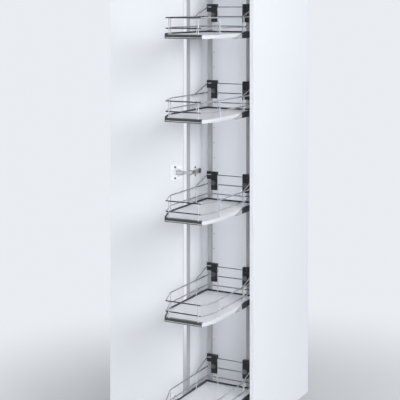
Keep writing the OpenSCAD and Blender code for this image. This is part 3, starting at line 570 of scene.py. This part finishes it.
def tray_wires(i):
    """Two closed rails, the climbing rear guard and the uprights of one tray, with weld beads."""
    board_low, board_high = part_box(f"tray_board_{i}")
    trim_low, trim_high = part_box(f"front_trim_{i}")
    base = board_low.z
    left, right = board_low.x + RAIL_IN, board_high.x - RAIL_IN
    front, rear = trim_low.y + RAIL_IN, board_high.y - RAIL_IN
    bend_y = trim_low.y + CHAMFER_DEPTH
    curve_y = front + CHAMFER_DEPTH / 2
    outline = [
        (left, rear), (left, bend_y), (trim_low.x + 1 * MM, front), (trim_high.x - 1 * MM, front),
        (right, curve_y), (right, rear),
    ]
    bends = [REAR_BEND, BEND, BEND, BEND, LONG_BEND, REAR_BEND]
    run_start = rear - GUARD_RUN
    guard_line = [
        (left, run_start, HIGH_RAIL), (left, rear, GUARD),
        (right, rear, GUARD), (right, run_start, HIGH_RAIL),
    ]
    front_x = (trim_low.x + FRONT_UPRIGHT_IN, trim_high.x - FRONT_UPRIGHT_IN)
    side_y = (bend_y + BEND_UPRIGHT_ON, run_start + GUARD_UPRIGHT_ON)
    uprights = [(x, front, BOARD_T + LIP_T, HIGH_RAIL) for x in front_x]
    uprights += [(x, y, BOARD_T, HIGH_RAIL) for x in (left, right) for y in side_y]
    uprights += [(x, rear, BOARD_T, GUARD) for x in rear_uprights(i)]

    def made(bm):
        for height in (LOW_RAIL, HIGH_RAIL):
            corners = [Vector((x, y, base + height)) for x, y in outline]
            sweep(bm, rounded_path(corners, bends, True), RAIL_R, UP, closed=True)
        corners = [Vector((x, y, base + z)) for x, y, z in guard_line]
        tilt = (corners[1] - corners[0]).cross(corners[2] - corners[1]).normalized()
        sweep(bm, rounded_path(corners, [0, REAR_BEND, REAR_BEND, 0], False), GUARD_R, tilt)
        wires = set(bm.faces)
        for x, y, foot, top in uprights:
            upright(bm, Vector((x, y, base)), foot, top)
        for face in set(bm.faces) - wires:
            face.material_index = 1

    piece = new_piece(f"tray_wires_{i}", made, [wire_chrome, upright_chrome], "tray_frame")
    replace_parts(piece, f"wire_rail_{i}")


def rear_uprights(i):
    """The x of the two rear uprights, which stand on the inner sides of the clamps, 0.3 mm off them."""
    low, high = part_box(f"tray_clamps_{i}")
    left_reach = 50 * MM          # from the tab's end over the left clamp's block
    block_w = 25 * MM
    gap = UPRIGHT_R + 0.3 * MM
    return low.x + left_reach + gap, high.x - block_w - gap


def upright(bm, base, foot, top):
    """A wire from the board to its top rail: a rosette at its foot, weld beads under and over the rails."""
    rosette = [(1.6 * MM, 0.0), (1.6 * MM, 0.6 * MM), (0.5 * MM, 1.2 * MM), (0.0, 2 * MM)]
    bead = [(0.0, RAIL_R + 1.6 * MM), (0.35 * MM, RAIL_R + 0.5 * MM), (0.7 * MM, RAIL_R * 0.6)]
    profile = [(UPRIGHT_R + out, foot + rise) for out, rise in rosette]
    for rail in (LOW_RAIL, HIGH_RAIL):
        profile += [(UPRIGHT_R + out, rail - away) for out, away in bead]
        if rail < top:
            profile += [(UPRIGHT_R + out, rail + away) for out, away in reversed(bead)]
    profile.append((UPRIGHT_R, top))
    revolve(bm, profile, Matrix.Translation(base), 20)


def trim_inlays(i):
    """The bright bead in the front profile's groove, and the grey strip on its lip."""
    low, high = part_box(f"front_trim_{i}")
    bead_r = 1.0 * MM
    bead_ends = [
        Vector((x, low.y + 0.45 * MM, low.z + 4.3 * MM)) for x in (low.x + 0.4 * MM, high.x - 0.4 * MM)]
    lip_low = (low.x + 0.5 * MM, low.y + 0.9 * MM, high.z - 0.2 * MM)
    lip_high = (high.x - 0.5 * MM, high.y - 0.8 * MM, high.z + 0.35 * MM)

    def bead(bm):
        sweep(bm, bead_ends, bead_r, UP, sides=14)

    def lip(bm):
        bar(bm, lip_low, lip_high)
        bmesh.ops.bevel(bm, geom=list(bm.edges), offset=0.2 * MM, segments=2, affect="EDGES")

    new_piece(f"trim_bead_{i}", bead, bead_satin, "tray_frame")
    new_piece(f"trim_lip_{i}", lip, lip_grey, "tray_frame")


for i in TRAYS:
    softened(f"tray_board_{i}", tray_white, 0.7 * MM, band=tray_band)
    softened(f"front_trim_{i}", trim_dark, 0.45 * MM, 3)
    softened(f"tray_rim_{i}", rim_dark, 0.8 * MM, 3)
    softened(f"tray_clamps_{i}", clamp_dark, 1.2 * MM, 3)
    tray_wires(i)
    trim_inlays(i)
softened("tray_brackets", rim_dark, 0.6 * MM, ahead=(BRACKET_TONE_Y, nose_grey))
softened("clamp_screws", cam_steel, 0.8 * MM, 3)


# ---------------------------------------------------------------- camera, floor, light

CAMERA_AT = (1.9648, -4.1293, 1.7069)
CAMERA_TURN = 28.0745            # degrees to the left of straight ahead
LENS = 97.2
HORIZON_DROP = -0.4922           # shift that keeps the upright lines upright
FLOOR_Z = -0.100
FLOOR_HALF = 40.0
FLOOR_FADE = (0.4, 2.0)          # distances over which the floor turns into the surround
FLOOR_MIRRORED = (-0.5, 0.3)     # x over which the floor that metals mirror goes from dark to pale
ROOM_MIRRORED = (-0.4, -0.1)     # the same for the room, as the x of the direction
CENTRE = Vector((0.0, -0.1, 1.0))
SURROUND = (0.82, 0.845, 0.89, 1.0)     # the pale room, as the camera sees it
COOL = (0.94, 0.962, 1.0)        # tint of the light
DARK = 0.02                      # the dark side of what metals mirror


def camera():
    """The camera that was fitted to the photo's edges: level, with its view shifted down."""
    made = bpy.data.objects.new("camera", bpy.data.cameras.new("camera"))
    made.location = CAMERA_AT
    made.rotation_euler = (math.radians(90), 0, math.radians(CAMERA_TURN))
    made.data.lens = LENS
    made.data.sensor_width = 36.0
    made.data.shift_y = HORIZON_DROP
    made.data.clip_end = 60.0
    scene.collection.objects.link(made)
    scene.camera = made


def background_shader(tree, color):
    made = tree.nodes.new("ShaderNodeBackground")
    made.inputs["Color"].default_value = color
    return made


def eased(tree, value, start, end, near=0.0, far=1.0):
    """Maps a value from start to end softly onto the stretch from near to far."""
    stretch = {"From Min": start, "From Max": end, "To Min": near, "To Max": far}
    made = tree.nodes.new("ShaderNodeMapRange")
    made.interpolation_type = "SMOOTHSTEP"
    for key, number in stretch.items():
        made.inputs[key].default_value = number
    tree.links.new(value, made.inputs["Value"])
    return made.outputs["Result"]


def floor():
    """A pale matt floor with a hint of mottling; far from the unit it turns into the pale surround.

    Metals mirror it as dark on the left and pale on the right.
    """
    s = Shader("floor_pale")
    color = s.mixed(s.span(s.noise(1.5, 3.0), 0.0, 1.0), grey(0.80, 0.03), grey(0.83, 0.03))
    tree = s.tree
    rays = tree.nodes.new("ShaderNodeLightPath")
    side = s.node("ShaderNodeSeparateXYZ", Vector=s.place).outputs["X"]
    mirrored = s.mixed(eased(tree, side, *FLOOR_MIRRORED), grey(DARK), grey(0.7))
    s.finish(s.mixed(rays.outputs["Is Glossy Ray"], color, mirrored), 0.6, s.bump(s.noise(60.0), 0.0005, 0.1))
    away = s.node("ShaderNodeVectorMath", Vector=s.place)
    away.operation = "LENGTH"
    seen = s.maths("MULTIPLY", eased(tree, away.outputs["Value"], *FLOOR_FADE), rays.outputs["Is Camera Ray"])
    glow = tree.nodes.new("ShaderNodeEmission")
    glow.inputs["Color"].default_value = SURROUND
    join = tree.nodes.new("ShaderNodeMixShader")
    tree.links.new(seen, join.inputs["Fac"])
    tree.links.new(s.surface.outputs["BSDF"], join.inputs[1])
    tree.links.new(glow.outputs["Emission"], join.inputs[2])
    tree.links.new(join.outputs["Shader"], tree.nodes["Material Output"].inputs["Surface"])
    mesh = bpy.data.meshes.new("floor")
    corners = [(x * FLOOR_HALF, y * FLOOR_HALF, FLOOR_Z) for x, y in ((-1, -1), (1, -1), (1, 1), (-1, 1))]
    mesh.from_pydata(corners, [], [(0, 1, 2, 3)])
    mesh.materials.append(s.material)
    made = bpy.data.objects.new("floor", mesh)
    scene.collection.objects.link(made)


def sky():
    """Pale all round for the camera; metals see a dark room to the left and a pale one to the right."""
    world = bpy.data.worlds.new("studio")
    world.use_nodes = True
    scene.world = world
    tree = world.node_tree
    tree.nodes.clear()
    output = tree.nodes.new("ShaderNodeOutputWorld")
    place = tree.nodes.new("ShaderNodeTexCoord")
    parts = tree.nodes.new("ShaderNodeSeparateXYZ")
    tree.links.new(place.outputs["Generated"], parts.inputs["Vector"])
    tone = tree.nodes.new("ShaderNodeMix")
    tone.data_type = "RGBA"
    tone.inputs["A"].default_value = grey(DARK, 0.1)
    tone.inputs["B"].default_value = SURROUND
    tree.links.new(eased(tree, parts.outputs["X"], *ROOM_MIRRORED), tone.inputs["Factor"])
    mirrored = background_shader(tree, SURROUND)
    tree.links.new(next(s for s in tone.outputs if s.type == "RGBA"), mirrored.inputs["Color"])
    lighting = background_shader(tree, (*COOL, 1.0))
    tree.links.new(eased(tree, parts.outputs["Y"], -0.3, 0.3, 0.60, 0.45), lighting.inputs["Strength"])
    seen = background_shader(tree, SURROUND)
    rays = tree.nodes.new("ShaderNodeLightPath")
    for_metal = tree.nodes.new("ShaderNodeMixShader")
    for_camera = tree.nodes.new("ShaderNodeMixShader")
    tree.links.new(rays.outputs["Is Glossy Ray"], for_metal.inputs["Fac"])
    tree.links.new(lighting.outputs["Background"], for_metal.inputs[1])
    tree.links.new(mirrored.outputs["Background"], for_metal.inputs[2])
    tree.links.new(rays.outputs["Is Camera Ray"], for_camera.inputs["Fac"])
    tree.links.new(for_metal.outputs["Shader"], for_camera.inputs[1])
    tree.links.new(seen.outputs["Background"], for_camera.inputs[2])
    tree.links.new(for_camera.outputs["Shader"], output.inputs["Surface"])


def area_light(name, place, target, size, power):
    """A soft box that only gives light: the camera and the metals don't see it."""
    data = bpy.data.lights.new(name, "AREA")
    data.shape = "RECTANGLE"
    data.size, data.size_y = size
    data.energy = power
    data.color = COOL
    made = bpy.data.objects.new(name, data)
    made.location = place
    made.rotation_euler = (Vector(target) - Vector(place)).to_track_quat("-Z", "Y").to_euler()
    made.visible_camera = False
    made.visible_glossy = False
    scene.collection.objects.link(made)


def lamp(name, turn, rise, away, size, power):
    """A soft box turn degrees to the right of the unit's front and rise degrees up, away metres off."""
    turn, rise = math.radians(turn), math.radians(rise)
    level = away * math.cos(rise)
    offset = Vector((level * math.sin(turn), -level * math.cos(turn), away * math.sin(rise)))
    area_light(name, CENTRE + offset, CENTRE, size, power)


camera()
floor()
sky()
lamp("key", 68, 24, 5.2, (2.4, 2.4), 125.0)
lamp("front", 28, 10, 4.6, (2.0, 2.0), 58.0)
area_light("inside", (0.128, 0.09, 1.0), (-0.134, 0.07, 1.0), (0.10, 1.9), 1.15)
scene.view_settings.view_transform = "Standard"
